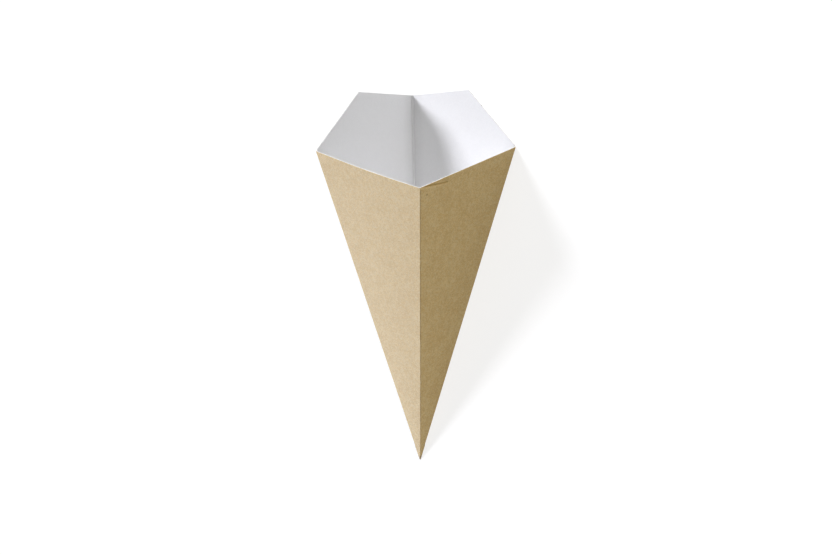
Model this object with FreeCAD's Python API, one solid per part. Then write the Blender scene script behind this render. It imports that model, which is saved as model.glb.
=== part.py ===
import FreeCAD, Part
import math
import os
from FreeCAD import Vector

# A cone cup folded from one sheet of kraft board. The flat sheet is a quarter of a disc, scored into
# four equal panels with a glue flap beside the first. Folded, it is a four-sided cone with a point,
# and the flap is glued over the outside of the front right panel.
# The cup can't stand on its point, so it lies on its back right panel: X runs from the point to the
# mouth, -Y is the side with the glued seam, and the floor is Z = 0.

# Creases, in millimetres from the point of the cone to the rim
front_crease = 175.0
side_crease = 181.5
back_crease = 197.0
back_peak = 201.5

# The angle that each panel takes at the point, in degrees
panel_angle = 22.5

# Board and folds
board = 0.4
fold_radius = 0.8
fold_radius_at_point = 0.15
point_worn_off = 1.2

# The raised score bead inside each fold, and where along the fold it starts and is full
bead_radius = 0.8
bead_start_radius = 0.15
bead_start = 7.0
bead_full = 30.0

# Glue flap over the front right panel: its foot is near the point, its lower edge keeps an angle
# clear of the right crease, and its top edge falls away from the rim
flap_width = 19.4
flap_foot = 8.0
flap_foot_width = 1.5
flap_clear_angle = 3.0
flap_top_angle = 15.8
flap_fold_radius = 0.35

# How far the cutting shapes reach past the board
reach = 40.0


def lean_of_creases():
    """Angle between a crease and the axis of the cone, from the angle of the panels."""
    return math.acos(math.sqrt(math.cos(math.radians(panel_angle))))


lean = lean_of_creases()
crease_out = math.sin(lean)
crease_up = math.cos(lean)

# The upright cone has its point at the origin and +Z along its axis
front = Vector(0, -crease_out, crease_up)
right = Vector(crease_out, 0, crease_up)
back = Vector(0, crease_out, crease_up)
left = Vector(-crease_out, 0, crease_up)
axis = Vector(0, 0, 1)


def outward(first, second):
    """Outward normal of the panel between two creases."""
    normal = first.cross(second).normalize()
    if normal.dot(axis) > 0:
        normal = normal * -1
    return normal


def halfway(first, second):
    """Direction of the middle line of the panel between two creases."""
    return (first + second).normalize()


front_right_normal = outward(front, right)
front_left_normal = outward(front, left)
back_right_normal = outward(back, right)
back_left_normal = outward(back, left)

# Height of the cone with room above the highest peak, for lofts that the rim is then cut from
loft_top = max(front_crease, side_crease, back_crease, back_peak) + reach
half_diagonal_per_height = math.tan(lean)


def folded_corner(out, height, radius):
    """Arc of a level section round one crease, from one panel to the next."""
    corner = out * (height * half_diagonal_per_height) + axis * height
    across = axis.cross(out)
    before = corner - (out + across) * (radius * math.sqrt(0.5))
    middle = corner - out * (radius * (math.sqrt(2) - 1))
    after = corner - (out - across) * (radius * math.sqrt(0.5))
    return Part.Arc(before, middle, after).toShape()


def outer_cone():
    """Solid cone with the outside of the folded board, its rounded folds and its worn point.

    The front corner stays nearly sharp, because the flap's own fold covers it.
    """
    corners = [(Vector(1, 0, 0), fold_radius), (Vector(0, 1, 0), fold_radius)]
    corners += [(Vector(-1, 0, 0), fold_radius), (Vector(0, -1, 0), fold_radius_at_point)]
    lows = [folded_corner(out, point_worn_off, fold_radius_at_point) for out, radius in corners]
    highs = [folded_corner(out, loft_top, radius) for out, radius in corners]
    faces = [Part.makeRuledSurface(low, high).Faces[0] for low, high in zip(lows, highs)]
    for ends in (lows, highs):
        edges = list(ends)
        for number, arc in enumerate(ends):
            following = ends[(number + 1) % 4]
            edges.append(Part.makeLine(arc.Vertexes[-1].Point, following.Vertexes[0].Point))
        faces.append(Part.Face(Part.Wire(Part.__sortEdges__(edges))))
    for number in range(4):
        following = (number + 1) % 4
        panel = [lows[number].Vertexes[-1].Point, lows[following].Vertexes[0].Point]
        panel += [highs[following].Vertexes[0].Point, highs[number].Vertexes[-1].Point]
        faces.append(Part.Face(Part.makePolygon(panel + panel[:1])))
    return closed_solid(faces)


def hollow_pyramid():
    """Sharp pyramid one board's thickness inside the four panels."""
    point = axis * (-board / front_right_normal.z)
    wide = (loft_top - point.z) * half_diagonal_per_height
    corners = [Vector(wide, 0, loft_top), Vector(0, wide, loft_top)]
    corners += [Vector(-wide, 0, loft_top), Vector(0, -wide, loft_top)]
    faces = [Part.Face(Part.makePolygon(corners + corners[:1]))]
    for number, corner in enumerate(corners):
        following = corners[(number + 1) % 4]
        faces.append(Part.Face(Part.makePolygon([point, corner, following, point])))
    return closed_solid(faces)


def closed_solid(faces):
    """Solid inside faces that meet along their edges."""
    shell = Part.Shell(faces)
    shell.sewShape()
    solid = Part.Solid(shell)
    if solid.Volume < 0:
        solid.reverse()
    return solid


def in_panel(crease, normal, far_crease, outline, start_depth, end_depth):
    """Plate over an outline of (along the crease, away from it), between two depths in the board."""
    away = normal.cross(crease).normalize()
    if away.dot(far_crease) < 0:
        away = away * -1
    points = [crease * along + away * off - normal * start_depth for along, off in outline]
    face = Part.Face(Part.makePolygon(points + points[:1]))
    return face.extrude(normal * (start_depth - end_depth))


def glue_flap():
    """Flap that turns at the front crease and lies over the outside of the front right panel."""
    taper = math.radians(panel_angle - flap_clear_angle)
    full_width_from = flap_foot + (flap_width - flap_foot_width) / math.tan(taper)
    outer_corner = front_crease - flap_width * math.tan(math.radians(flap_top_angle))
    top = front_crease + board * math.tan(math.radians(flap_top_angle))
    outline = [(flap_foot, -board), (top, -board), (outer_corner, flap_width)]
    outline += [(full_width_from, flap_width), (flap_foot, flap_foot_width)]
    flap = in_panel(front, front_right_normal, right, outline, -board, board)
    beyond = [(-reach, -reach), (loft_top, -reach), (loft_top, reach), (-reach, reach)]
    flap = flap.cut(in_panel(front, front_left_normal, left, beyond, -reach, 0))
    fold = max(flap.Edges, key=outside_fold)
    return flap.makeFillet(flap_fold_radius, [fold])


def outside_fold(edge):
    """Rank of an edge as the outer corner between the front left panel and the glue flap."""
    middle = edge.CenterOfMass
    return middle.dot(front_left_normal) + middle.dot(front_right_normal)


def score_bead(crease, one_normal, other_normal):
    """Rounded bead along the inner corner of a fold, between two inner faces."""
    line = (one_normal + other_normal) * (-board / (1 + one_normal.dot(other_normal)))
    taper_length = bead_full - bead_start
    taper_from = line + crease * bead_start
    taper = Part.makeCone(bead_start_radius, bead_radius, taper_length, taper_from, crease)
    straight_from = line + crease * bead_full
    straight = Part.makeCylinder(bead_radius, loft_top - bead_full, straight_from, crease)
    return taper.fuse(straight)


def above_rim(first, first_length, second, second_length, peak_length=None):
    """Everything above the rim of one panel, square to the board, in that panel's own quarter."""
    normal = outward(first, second)
    first_end = first * first_length
    second_end = second * second_length
    top = [first_end, second_end]
    if peak_length:
        top.insert(1, halfway(first, second) * peak_length)
    before = (top[0] - top[1]).normalize()
    after = (top[-1] - top[-2]).normalize()
    up = halfway(first, second) * (2 * loft_top)
    outline = [top[0] + before * reach] + top[1:-1] + [top[-1] + after * reach]
    outline += [outline[-1] + up, outline[0] + up]
    low = [point + normal * reach for point in outline]
    block = Part.Face(Part.makePolygon(low + low[:1])).extrude(normal * -(2 * loft_top))
    size = 4 * loft_top
    across = first + second
    corner = Vector(0 if across.x > 0 else -size, 0 if across.y > 0 else -size, -size / 2)
    return block.common(Part.makeBox(size, size, size, corner))


def folded_cup():
    """The folded and glued sheet, upright on its point."""
    beads = [
        score_bead(right, front_right_normal, back_right_normal),
        score_bead(back, back_right_normal, back_left_normal),
        score_bead(left, back_left_normal, front_left_normal),
    ]
    hollow = hollow_pyramid()
    for bead in beads:
        hollow = hollow.cut(bead)
    cup = outer_cone().fuse(glue_flap()).cut(hollow)
    rims = [
        above_rim(front, front_crease, right, side_crease),
        above_rim(front, front_crease, left, side_crease),
        above_rim(back, back_crease, right, side_crease, back_peak),
        above_rim(back, back_crease, left, side_crease, back_peak),
    ]
    for rim in rims:
        cup = cup.cut(rim)
    return cup.removeSplitter().Solids[0]


def laid_down(cup):
    """The cup on its back right panel, with the middle of its box over the origin."""
    to_mouth = halfway(right, back)
    up = back_right_normal * -1
    sideways = up.cross(to_mouth)
    turn = FreeCAD.Matrix(
        to_mouth.x, to_mouth.y, to_mouth.z, 0,
        sideways.x, sideways.y, sideways.z, 0,
        up.x, up.y, up.z, 0,
        0, 0, 0, 1)
    lying = cup.transformed(turn, True)
    box = lying.optimalBoundingBox()
    return lying.translated(Vector(-box.Center.x, -box.Center.y, 0))


cup = laid_down(folded_cup())
os.makedirs("parts", exist_ok=True)
cup.exportStep("parts/cone_cup.step")
print("cone_cup", cup.ShapeType, len(cup.Solids), "solid", round(cup.Volume, 1), "mm3, valid", cup.isValid())
print("box", cup.optimalBoundingBox())
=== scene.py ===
import math

import bmesh
import bpy
from mathutils import Matrix, Vector


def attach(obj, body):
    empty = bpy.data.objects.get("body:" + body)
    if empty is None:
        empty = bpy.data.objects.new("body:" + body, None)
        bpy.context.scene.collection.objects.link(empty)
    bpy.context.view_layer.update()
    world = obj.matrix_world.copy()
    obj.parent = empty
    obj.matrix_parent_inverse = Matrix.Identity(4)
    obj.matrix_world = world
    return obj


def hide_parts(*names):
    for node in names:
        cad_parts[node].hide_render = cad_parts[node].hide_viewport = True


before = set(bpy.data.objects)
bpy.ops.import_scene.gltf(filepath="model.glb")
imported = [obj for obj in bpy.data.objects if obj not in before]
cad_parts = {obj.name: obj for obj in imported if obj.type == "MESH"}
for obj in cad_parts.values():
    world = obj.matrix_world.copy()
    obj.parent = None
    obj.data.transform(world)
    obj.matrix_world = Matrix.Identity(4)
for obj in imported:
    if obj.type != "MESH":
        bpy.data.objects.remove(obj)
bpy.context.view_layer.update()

# The folded sheet. One blank of 0.4 mm kraft board, a quarter of a disc, is scored into four panels
# and folded into a four-sided cone. It is worked upright on its point, with the front fold towards -Y,
# and is laid down on its back right panel last.
front_crease = 0.175
side_crease = 0.1815
back_crease = 0.197
back_peak = 0.2015
panel_angle = math.radians(22.5)
board = 0.0004
fold_radius = 0.0004
bead_radius = 0.00075
bead_sides = 6
bead_from = 0.010
sheet_from = 0.0029
sheet_to = 0.24
front_left_bow = 0.0009

lean = math.acos(math.sqrt(math.cos(panel_angle)))
half_diagonal = math.tan(lean)
front = Vector((0, -math.sin(lean), math.cos(lean)))
right = Vector((math.sin(lean), 0, math.cos(lean)))
back = Vector((0, math.sin(lean), math.cos(lean)))
left = Vector((-math.sin(lean), 0, math.cos(lean)))


def outward(first, second):
    """Outward normal of the panel between two creases."""
    normal = first.cross(second).normalized()
    return -normal if normal.z > 0 else normal


def away_from(crease, next_crease):
    """Direction in a panel square to one crease and towards the next."""
    return (next_crease - crease * next_crease.dot(crease)).normalized()


def middle_of(item):
    """Middle of an edge or face."""
    return sum((vert.co for vert in item.verts), Vector()) / len(item.verts)


def pick(kind, rule):
    """Selects only the verts, edges or faces in edit mode that a rule picks."""
    bpy.ops.mesh.select_mode(type=kind)
    bpy.ops.mesh.select_all(action="DESELECT")
    shape = bmesh.from_edit_mesh(bpy.context.object.data)
    for item in {"VERT": shape.verts, "EDGE": shape.edges, "FACE": shape.faces}[kind]:
        if rule(item):
            item.select_set(True)
    shape.select_flush_mode()
    bmesh.update_edit_mesh(bpy.context.object.data)


def in_half_panel(point, crease, next_crease):
    """True for a point between a crease and the middle line of the panel towards the next crease."""
    along = point.dot(Vector((crease.x, crease.y, 0)))
    towards = point.dot(Vector((next_crease.x, next_crease.y, 0)))
    return along > towards > 0


bpy.ops.object.select_all(action="DESELECT")
bpy.ops.mesh.primitive_cone_add(
    vertices=4, radius1=sheet_from * half_diagonal, radius2=sheet_to * half_diagonal,
    depth=sheet_to - sheet_from, end_fill_type="NOTHING", location=(0, 0, (sheet_to + sheet_from) / 2))
cup = bpy.context.object
cup.name = "folded_cup"
bpy.ops.object.transform_apply(location=True, rotation=True, scale=True)
bpy.ops.object.mode_set(mode="EDIT")
for across in (Vector((1, 1, 0)), Vector((1, -1, 0))):
    pick("FACE", lambda face: True)
    bpy.ops.mesh.bisect(plane_co=(0, 0, 0), plane_no=across, threshold=1e-7)

# The rim is one straight cut over each front panel, and rises to a peak over each back panel
half_panels = []
for side in (right, left):
    half_panels += [(front, side), (side, front), (side, back), (back, side)]
for crease, next_crease in half_panels:
    rim_start = side_crease * (right if right in (crease, next_crease) else left)
    if front in (crease, next_crease):
        rim_end = front * front_crease
    else:
        rim_end = (crease + next_crease).normalized() * back_peak
        rim_start = back * back_crease if crease is back else rim_start
    square = (rim_end - rim_start).cross(outward(crease, next_crease)).normalized()
    square = -square if square.z < 0 else square
    pick("FACE", lambda face: in_half_panel(middle_of(face), crease, next_crease))
    bpy.ops.mesh.bisect(plane_co=rim_start, plane_no=square, threshold=1e-6)
    pick("FACE", lambda face: in_half_panel(middle_of(face), crease, next_crease)
         and (middle_of(face) - rim_start).dot(square) > 0)
    bpy.ops.mesh.delete(type="FACE")

# Lines beside the folds mark how wide the score beads are, and the panels between them are divided
for level in (bead_from / 2, bead_from):
    pick("FACE", lambda face: True)
    bpy.ops.mesh.bisect(plane_co=(0, 0, level), plane_no=(0, 0, 1), threshold=1e-7)
for crease, next_crease in half_panels:
    away = away_from(crease, next_crease)
    pick("FACE", lambda face: in_half_panel(middle_of(face), crease, next_crease)
         and middle_of(face).z > bead_from)
    bpy.ops.mesh.bisect(plane_co=away * (board + bead_radius), plane_no=away, threshold=1e-7)


def beside_a_fold(point):
    """True for a point on the narrow strips beside the folds."""
    strips = [abs(point.dot(away_from(one, two))) < board + bead_radius for one, two in half_panels
              if in_half_panel(point, one, two)]
    return any(strips)


pick("FACE", lambda face: middle_of(face).z > bead_from and not beside_a_fold(middle_of(face)))
bpy.ops.mesh.subdivide(number_cuts=7)

# The front left panel bows outwards between its folds
bpy.ops.object.mode_set(mode="OBJECT")
bow_out = outward(front, left)
for vert in cup.data.vertices:
    if vert.co.x < 0 and vert.co.y < 0:
        turned = math.atan2(vert.co.dot(away_from(front, left)), vert.co.dot(front))
        bow = front_left_bow * vert.co.length / front_crease
        vert.co += bow_out * bow * math.sin(math.pi * turned / panel_angle)
bpy.ops.object.mode_set(mode="EDIT")


def on_line(point, crease, slack=1e-5):
    """True for a point on the line of a crease."""
    return (point - crease * point.dot(crease)).length < slack


for crease in (right, back, left):
    pick("EDGE", lambda edge: all(on_line(vert.co, crease) and vert.co.z > bead_from - 1e-5
                                  for vert in edge.verts))
    bpy.ops.mesh.bevel(offset=fold_radius, segments=4, profile=0.5, affect="EDGES", clamp_overlap=False)
bpy.ops.object.mode_set(mode="OBJECT")

thick = cup.modifiers.new("board", "SOLIDIFY")
thick.thickness = board
thick.offset = -1
thick.use_even_offset = True
thick.use_quality_normals = True
thick.material_offset = 1
thick.material_offset_rim = 2
for name in ("kraft_face", "white_lining", "cut_board"):
    cup.data.materials.append(bpy.data.materials.new(name))
bpy.ops.object.modifier_apply(modifier="board")

# The score beads stand up along the inside of the three folds. The bevel left five lines of points inside
# each fold, and they are spread evenly round the bead.
bpy.ops.object.mode_set(mode="EDIT")
shape = bmesh.from_edit_mesh(cup.data)
for crease, one, two in ((right, front, back), (back, left, right), (left, back, front)):
    cosine = outward(crease, one).dot(outward(crease, two))
    inner_corner = -(outward(crease, one) + outward(crease, two)) * board / (1 + cosine)
    wall = away_from(crease, one)
    other_wall = away_from(crease, two)
    open_angle = wall.angle(other_wall)
    square = (other_wall - wall * other_wall.dot(wall)).normalized()
    for vert in shape.verts:
        off = vert.co - inner_corner
        along = crease * off.dot(crease)
        off -= along
        if vert.co.z < bead_from or off.length > bead_radius * 0.9:
            continue
        if any(face.material_index == 0 for face in vert.link_faces):
            continue
        turn = math.atan2(off.dot(square), off.dot(wall)) / open_angle - 0.5
        steps = (abs(turn) > 0.2) + (abs(turn) > 0.45)
        turn = open_angle * (0.5 + math.copysign(steps / bead_sides, turn))
        vert.co = inner_corner + along + (wall * math.cos(turn) + square * math.sin(turn)) * bead_radius
bmesh.update_edit_mesh(cup.data)

# The point is closed: a small floor inside, and outside a blunt end that is worn off. Each of its rings
# has a height and a share of the cone's width there.
pick("FACE", lambda face: face.material_index == 2 and middle_of(face).z < bead_from)
bpy.ops.mesh.delete(type="FACE")


def open_ring(edge):
    """True for an edge of an open ring at the point."""
    return edge.is_boundary and middle_of(edge).z < bead_from


pick("EDGE", lambda edge: open_ring(edge) and middle_of(edge).xy.length < sheet_from * half_diagonal * 0.5)
bpy.ops.mesh.edge_face_add()
worn_rings = ((0.0013, 1.0), (0.0010, 0.72))
for level, width in worn_rings:
    pick("EDGE", open_ring)
    ring = [vert.co for edge in bmesh.from_edit_mesh(cup.data).edges if edge.select for vert in edge.verts]
    height = sum(spot.z for spot in ring) / len(ring)
    narrower = level * half_diagonal * width / max(spot.xy.length for spot in ring)
    bpy.ops.mesh.extrude_edges_move(TRANSFORM_OT_translate={"value": (0, 0, level - height)})
    bpy.ops.transform.resize(value=(narrower, narrower, 1), center_override=(0, 0, level))
pick("EDGE", open_ring)
bpy.ops.mesh.edge_face_add()

# The glue flap. It is the same sheet: it turns over the front fold and is glued flat over the outside of
# the front right panel, so it shows as a second thickness with three cut edges. Its top edge falls away
# from the rim, and its lower edge narrows towards the point.
flap_width = 0.0194
flap_foot = 0.008
flap_foot_width = 0.0015
flap_top_drop = math.tan(math.radians(15.8))
flap_taper = math.tan(panel_angle - math.radians(3))
flap_fold_radius = 0.00035
face_out = outward(front, right)
over = away_from(front, right)


def on_front_right(point, depth=0.0, slack=1e-5):
    """True for a point on the flat outside of the front right panel, or at a height above it."""
    return point.x > -1e-4 and point.y < 1e-4 and abs(point.dot(face_out) - depth) < slack


def under_flap(point):
    """True for a point that the glue flap covers."""
    along = point.dot(front)
    off = point.dot(over)
    top = front_crease - off * flap_top_drop
    widest = flap_foot_width + (along - flap_foot) * flap_taper
    return flap_foot < along < top and off < min(flap_width, widest)


pick("FACE", lambda face: all(on_front_right(vert.co) for vert in face.verts))
bpy.ops.mesh.bisect(plane_co=over * flap_width, plane_no=over, threshold=1e-7)
flap_cuts = [
    (front * front_crease, front + over * flap_top_drop),
    (front * flap_foot + over * flap_foot_width, over - front * flap_taper),
    (front * flap_foot, front),
]
for place, square in flap_cuts:
    pick("FACE", lambda face: all(on_front_right(vert.co) for vert in face.verts)
         and middle_of(face).dot(over) < flap_width)
    bpy.ops.mesh.bisect(plane_co=place, plane_no=square, threshold=1e-7)
pick("FACE", lambda face: all(on_front_right(vert.co) for vert in face.verts) and under_flap(middle_of(face)))
bpy.ops.mesh.extrude_region_move(TRANSFORM_OT_translate={"value": face_out * board})

# Its fold lies flush with the front left panel and is rounded
left_out = outward(front, left)
flush = -2 * face_out.dot(left_out) * board
pick("VERT", lambda vert: on_front_right(vert.co, board) and abs(vert.co.dot(over)) < 1e-5)
bpy.ops.transform.translate(value=left_out * flush)
pick("EDGE", lambda edge: all(on_front_right(vert.co, board, 6e-5) and abs(vert.co.dot(over)) < 1e-4
                              for vert in edge.verts))
bpy.ops.mesh.bevel(offset=flap_fold_radius, segments=3, profile=0.5, affect="EDGES", clamp_overlap=False)

# The cut rim shows the board's core, with the lining as its inner quarter
pick("EDGE", lambda edge: all(face.material_index == 2 for face in edge.link_faces)
     and middle_of(edge).z > 0.1 and not on_front_right(middle_of(edge), board / 2, board / 2 - 1e-5))
bpy.ops.mesh.subdivide(number_cuts=3)
pick("FACE", lambda face: face.material_index == 2 and middle_of(face).z > 0.1
     and any(near.material_index == 1 for edge in face.edges for near in edge.link_faces))
for face in bmesh.from_edit_mesh(cup.data).faces:
    if face.select:
        face.material_index = 1
bmesh.update_edit_mesh(cup.data)
bpy.ops.object.mode_set(mode="OBJECT")

# Laid down on the back right panel, with the point towards -X and the middle of its box over the origin
box_middle = Vector((0.101314, 0.002342, 0))
to_mouth = (right + back).normalized()
up = -outward(back, right)
sideways = up.cross(to_mouth)
laid = Matrix((to_mouth, sideways, up)).to_4x4()
laid.translation = -box_middle
cup.matrix_world = laid
bpy.ops.object.transform_apply(location=True, rotation=True, scale=True)
bpy.ops.object.shade_smooth_by_angle(angle=math.radians(32))
weights = cup.modifiers.new("even_shading", "WEIGHTED_NORMAL")
weights.keep_sharp = True
bpy.ops.object.modifier_apply(modifier="even_shading")

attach(cup, "root")
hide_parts("cone_cup")


# Board materials. The outside is unbleached kraft with loose brown fibres, the inside has a smooth white
# coating, and the cut edges show the paler core. The paper's own grain is the same in all three.
def add(tree, kind, **values):
    """Adds a node to a tree, with its settings."""
    node = tree.nodes.new(kind)
    for name, value in values.items():
        setattr(node, name, value)
    return node


def work_out(tree, operation, one, two, clamp=False):
    """Adds a math node for two sockets or numbers."""
    node = add(tree, "ShaderNodeMath", operation=operation, use_clamp=clamp)
    for socket, value in zip(node.inputs, (one, two)):
        if isinstance(value, (int, float)):
            socket.default_value = value
        else:
            tree.links.new(value, socket)
    return node.outputs[0]


def fleece(tree, place, per_metre, detail, start, distortion=0.0):
    """Adds a noise with so many features in a metre, centred on zero."""
    moved = add(tree, "ShaderNodeVectorMath", operation="ADD")
    tree.links.new(place, moved.inputs[0])
    moved.inputs[1].default_value = (start, start * 1.7, start * 2.3)
    noise = add(tree, "ShaderNodeTexNoise")
    tree.links.new(moved.outputs[0], noise.inputs["Vector"])
    noise.inputs["Scale"].default_value = per_metre
    noise.inputs["Detail"].default_value = detail
    noise.inputs["Distortion"].default_value = distortion
    return work_out(tree, "SUBTRACT", noise.outputs[0], 0.5)


def new_group(name, inputs, outputs):
    """Makes an empty node group with its sockets and the place on the piece."""
    group = bpy.data.node_groups.new(name, "ShaderNodeTree")
    for direction, sockets in (("INPUT", inputs), ("OUTPUT", outputs)):
        for label, kind in sockets:
            group.interface.new_socket(label, in_out=direction, socket_type=kind)
    given = add(group, "NodeGroupInput").outputs
    made = add(group, "NodeGroupOutput").inputs
    return group, given, made, add(group, "ShaderNodeTexCoord").outputs["Object"]


grain, given, made, place = new_group(
    "paper_grain",
    (("Clouds", "NodeSocketFloat"), ("Fibres", "NodeSocketFloat"), ("Hues", "NodeSocketFloat")),
    (("Tone", "NodeSocketFloat"), ("Warmth", "NodeSocketFloat"), ("Height", "NodeSocketFloat")))
clouds = work_out(grain, "ADD", fleece(grain, place, 130, 2, 1.0), fleece(grain, place, 420, 2, 2.0))
short = fleece(grain, place, 1000, 2, 3.0, 1.5)
fine = fleece(grain, place, 1900, 2, 4.0, 0.5)
fibres = work_out(grain, "ADD", work_out(grain, "MULTIPLY", short, 1.6),
                  work_out(grain, "MULTIPLY", fine, 1.4))
tone = work_out(grain, "ADD", work_out(grain, "MULTIPLY", clouds, given["Clouds"]),
                work_out(grain, "MULTIPLY", fibres, given["Fibres"]))
grain.links.new(work_out(grain, "ADD", tone, 0.5, clamp=True), made["Tone"])
warmth = work_out(grain, "MULTIPLY", fleece(grain, place, 800, 3, 5.0), given["Hues"])
grain.links.new(work_out(grain, "ADD", warmth, 0.5, clamp=True), made["Warmth"])
cockle = fleece(grain, place, 480, 1, 7.0)
grain.links.new(work_out(grain, "ADD", work_out(grain, "MULTIPLY", fibres, 0.3), cockle), made["Height"])

mark, given, made, place = new_group(
    "round_mark",
    (("Middle", "NodeSocketVector"), ("Size", "NodeSocketFloat")),
    (("Mask", "NodeSocketFloat"),))
apart = add(mark, "ShaderNodeVectorMath", operation="DISTANCE")
mark.links.new(place, apart.inputs[0])
mark.links.new(given["Middle"], apart.inputs[1])
ragged = work_out(mark, "ADD", work_out(mark, "DIVIDE", apart.outputs["Value"], given["Size"]),
                  work_out(mark, "MULTIPLY", fleece(mark, place, 1600, 2, 6.0), 1.2))
fading = work_out(mark, "SUBTRACT", 1.3, ragged)
mark.links.new(work_out(mark, "MULTIPLY", fading, 1.4, clamp=True), made["Mask"])


def mixed(tree, factor, one, two, blend="MIX"):
    """Adds a mix of two colours, each a socket or three numbers."""
    node = add(tree, "ShaderNodeMix", data_type="RGBA", blend_type=blend)
    for socket, value in ((node.inputs["Factor"], factor), (node.inputs["A"], one), (node.inputs["B"], two)):
        if isinstance(value, bpy.types.NodeSocket):
            tree.links.new(value, socket)
        else:
            socket.default_value = value if isinstance(value, float) else (*value, 1)
    return node.outputs["Result"]


def board_material(name, dark, light, clouds, fibres, hues, roughness, gloss, bump, marks):
    """A paper surface that runs between two colours with its grain, and has its marks on it."""
    material = bpy.data.materials[name]
    material.use_nodes = True
    tree = material.node_tree
    shader = tree.nodes["Principled BSDF"]
    shader.inputs["Roughness"].default_value = roughness
    shader.inputs["Specular IOR Level"].default_value = gloss
    paper = add(tree, "ShaderNodeGroup", node_tree=grain)
    paper.inputs["Clouds"].default_value = clouds
    paper.inputs["Fibres"].default_value = fibres
    paper.inputs["Hues"].default_value = hues
    colour = mixed(tree, paper.outputs["Tone"], dark, light)
    hue = mixed(tree, paper.outputs["Warmth"], (0.98, 1.0, 1.045), (1.02, 1.0, 0.955))
    colour = mixed(tree, 1.0, colour, hue, "MULTIPLY")
    for middle, size, strength, tint in marks:
        spot = add(tree, "ShaderNodeGroup", node_tree=mark)
        spot.inputs["Middle"].default_value = middle
        spot.inputs["Size"].default_value = size
        colour = mixed(tree, work_out(tree, "MULTIPLY", spot.outputs["Mask"], strength), colour, tint)
    tree.links.new(colour, shader.inputs["Base Color"])
    relief = add(tree, "ShaderNodeBump")
    relief.inputs["Strength"].default_value = bump
    relief.inputs["Distance"].default_value = 0.0002
    tree.links.new(paper.outputs["Height"], relief.inputs["Height"])
    tree.links.new(relief.outputs["Normal"], shader.inputs["Normal"])
    return tree, shader, colour


speck_on_flap = laid @ (front * 0.1694 + over * 0.0045 + face_out * board)
speck_on_left = laid @ (front * 0.1673 + away_from(front, left) * 0.0447)
fleck_on_left = laid @ (front * 0.1610 + away_from(front, left) * 0.0407)
speck_on_rim = laid @ (right * side_crease).lerp((right + back).normalized() * back_peak, 0.716)
brown = (0.13, 0.075, 0.035)
rim_mark = (speck_on_rim, 0.0004, 0.7, brown)
worn_mark = (laid @ Vector((0, 0, 0.001)), 0.003, 0.7, (0.25, 0.16, 0.08))
kraft, kraft_shader, colour = board_material(
    "kraft_face", (0.643, 0.435, 0.172), (0.757, 0.572, 0.270), 1.0, 2.15, 3.5, 0.5, 0.25, 0.6,
    ((speck_on_flap, 0.0005, 0.65, (0.22, 0.08, 0.01)), (speck_on_left, 0.0004, 0.5, brown),
     (fleck_on_left, 0.0005, 0.6, (0.85, 0.8, 0.7)), worn_mark))

# Painted shade and a painted highlight around the glue flap: a painted shadow along the gap at the flap's top
# edge, painted shade over the wedge above it and beside its side edge, and a painted highlight along the
# flap's top edge
position = add(kraft, "ShaderNodeTexCoord").outputs["Object"]


def distance_along(direction, start):
    """Adds the distance of a place on the board from a start, along a direction."""
    turned = (laid @ direction) - (laid @ Vector())
    along = add(kraft, "ShaderNodeVectorMath", operation="DOT_PRODUCT")
    kraft.links.new(position, along.inputs[0])
    along.inputs[1].default_value = turned
    return work_out(kraft, "SUBTRACT", along.outputs["Value"], turned.dot(laid @ start))


def band(distance, low, high, soft):
    """Adds a mask that is one between two distances and fades at both."""
    rise = work_out(kraft, "MULTIPLY", work_out(kraft, "SUBTRACT", distance, low), 1 / soft, clamp=True)
    fall = work_out(kraft, "MULTIPLY", work_out(kraft, "SUBTRACT", high, distance), 1 / soft, clamp=True)
    return work_out(kraft, "MULTIPLY", rise, fall)


above_edge = distance_along((front + over * flap_top_drop).normalized(), front * front_crease)
past_side = distance_along(over, over * flap_width)
on_panel = band(distance_along(face_out, Vector()), -0.0001, 0.001, 0.00005)
beside = work_out(kraft, "MULTIPLY", on_panel, band(past_side, -flap_width, 0.0004, 0.0002))
# Painted shadow: a dark line along the gap at the flap's top edge
flap_edge_shadow = band(above_edge, -0.0001, 0.0007, 0.00025)
# Painted shade over the wedge of panel between the flap's top edge and the rim
wedge_shade = band(above_edge, 0.0003, 0.020, 0.0006)
# Painted highlight: a pale line along the flap's top edge
flap_edge_highlight = band(above_edge, -0.0011, -0.0001, 0.0003)
# Painted shade on the panel just past the flap's side edge, fading over about 3 mm
flap_side_shade = band(past_side, -0.0001, 0.003, 0.0028)
flap_shade_and_highlight = (
    (beside, flap_edge_shadow, 0.95, (0.61, 0.56, 0.42)),
    (beside, wedge_shade, 0.8, (0.90, 0.87, 0.80)),
    (beside, flap_edge_highlight, 0.8, (1.10, 1.12, 1.16)),
    (on_panel, flap_side_shade, 0.8, (0.90, 0.90, 0.88)),
)
for where, across, strength, tint in flap_shade_and_highlight:
    mask = work_out(kraft, "MULTIPLY", where, across)
    tinted = mixed(kraft, 1.0, colour, tint, "MULTIPLY")
    colour = mixed(kraft, work_out(kraft, "MULTIPLY", mask, strength), colour, tinted)
kraft.links.new(colour, kraft_shader.inputs["Base Color"])
lining, lining_shader, colour = board_material(
    "white_lining", (0.84, 0.84, 0.855), (0.89, 0.89, 0.905), 0.4, 0.8, 0.1, 0.45, 0.4, 0.025,
    (rim_mark,))
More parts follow.
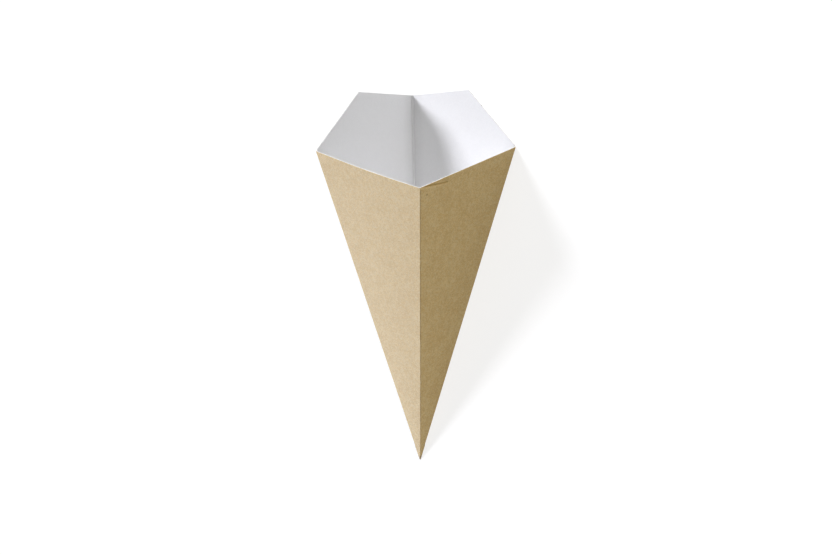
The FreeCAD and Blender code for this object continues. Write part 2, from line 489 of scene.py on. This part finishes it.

# Painted shade along the three scored folds darkens the lining: a narrow band that also stands for crushed
# coating, and a wide soft band
position = add(lining, "ShaderNodeTexCoord").outputs["Object"]
for crease in (right, back, left):
    off = add(lining, "ShaderNodeVectorMath", operation="SUBTRACT")
    lining.links.new(position, off.inputs[0])
    off.inputs[1].default_value = laid @ Vector()
    across = add(lining, "ShaderNodeVectorMath", operation="CROSS_PRODUCT")
    lining.links.new(off.outputs[0], across.inputs[0])
    across.inputs[1].default_value = (laid @ crease) - (laid @ Vector())
    apart = add(lining, "ShaderNodeVectorMath", operation="LENGTH")
    lining.links.new(across.outputs[0], apart.inputs[0])
    for width, strength in ((0.0022, 0.32), (0.008, 0.24)):
        widths_away = work_out(lining, "DIVIDE", apart.outputs["Value"], width)
        near_fold = work_out(lining, "SUBTRACT", 1.0, widths_away, clamp=True)
        fold_shaded = mixed(lining, 1.0, colour, (0.5, 0.5, 0.5), "MULTIPLY")
        colour = mixed(lining, work_out(lining, "MULTIPLY", near_fold, strength), colour, fold_shaded)
lining.links.new(colour, lining_shader.inputs["Base Color"])
board_material(
    "cut_board", (0.80, 0.77, 0.71), (0.93, 0.91, 0.87), 1.0, 1.2, 1.0, 0.8, 0.2, 0.5,
    (rim_mark, worn_mark))

# A pale studio floor, plain and a little luminous. It lights the cup from below, and shows brighter to
# the camera than it lights, as an overexposed floor does.
bpy.ops.object.select_all(action="DESELECT")
bpy.ops.mesh.primitive_plane_add(size=30, location=(0, 0, 0))
floor = bpy.context.object
floor.name = "studio_floor"
pale = bpy.data.materials.new("floor_white")
pale.use_nodes = True
surface = pale.node_tree.nodes["Principled BSDF"]
surface.inputs["Base Color"].default_value = (0.3, 0.3, 0.3, 1)
surface.inputs["Roughness"].default_value = 0.9
surface.inputs["Specular IOR Level"].default_value = 0
surface.inputs["Emission Color"].default_value = (1, 1, 1, 1)
seen = add(pale.node_tree, "ShaderNodeLightPath").outputs["Is Camera Ray"]
floor_glow = 0.32
more_glow_seen = 0.47
extra = work_out(pale.node_tree, "MULTIPLY", seen, more_glow_seen)
glow = work_out(pale.node_tree, "ADD", extra, floor_glow)
pale.node_tree.links.new(glow, surface.inputs["Emission Strength"])
floor.data.materials.append(pale)

# Light: a dim even room, a soft key from above, two wide fills from the mouth's side, a sheet of light
# that only shows as a soft gloss, and a small lamp near the point. Each of the four large lamps has its
# direction, strength, angle, tint, and whether it lights matt surfaces.
room = bpy.data.worlds.new("pale_room")
room.use_nodes = True
room.node_tree.nodes["Background"].inputs["Color"].default_value = (1, 1, 1, 1)
room.node_tree.nodes["Background"].inputs["Strength"].default_value = 0.10
bpy.context.scene.world = room
lamps = (
    ("key", (0.447, 0.765, 1), 2.49, 0.29, (0.985, 0.99, 1.05), True),
    ("fill", (0.85, -0.65, 0.25), 0.88, 1.0, (1, 0.99, 0.94), True),
    ("mouth_fill", (1, -0.04, 0.07), 1.95, 1.0, (1, 0.99, 0.94), True),
    ("gloss_sheet", (-0.669, 0.644, 0.372), 4.8, 0.8, (1, 1, 1), False),
)
for name, towards, strength, width, tint, on_matt in lamps:
    lamp = bpy.data.objects.new(name, bpy.data.lights.new(name, "SUN"))
    lamp.data.energy = strength
    lamp.data.angle = width
    lamp.data.color = tint
    lamp.visible_diffuse = on_matt
    lamp.rotation_euler = Vector(towards).to_track_quat("Z", "Y").to_euler()
    bpy.context.scene.collection.objects.link(lamp)
near = bpy.data.objects.new("near_point", bpy.data.lights.new("near_point", "AREA"))
near.data.energy = 0.13
near.data.size = 0.2
near.location = (-0.2, -0.3, 0.08)
near.rotation_euler = (near.location - Vector((-0.03, -0.03, 0.03))).to_track_quat("Z", "Y").to_euler()
bpy.context.scene.collection.objects.link(near)

# The camera looks down on the lying cup from above, turned so that the cup shows upright in the view.
# Its place and lens come from a fit to the corners of the outline.
camera = bpy.data.objects.new("camera", bpy.data.cameras.new("camera"))
camera.data.lens = 58.709
camera.data.sensor_width = 36
camera.location = (0.14387, -0.45261, 0.53774)
camera.rotation_euler = [math.radians(turn) for turn in (-5.2744, 42.2135, -80.4244)]
bpy.context.scene.collection.objects.link(camera)
bpy.context.scene.camera = camera
bpy.context.scene.view_settings.view_transform = "Standard"
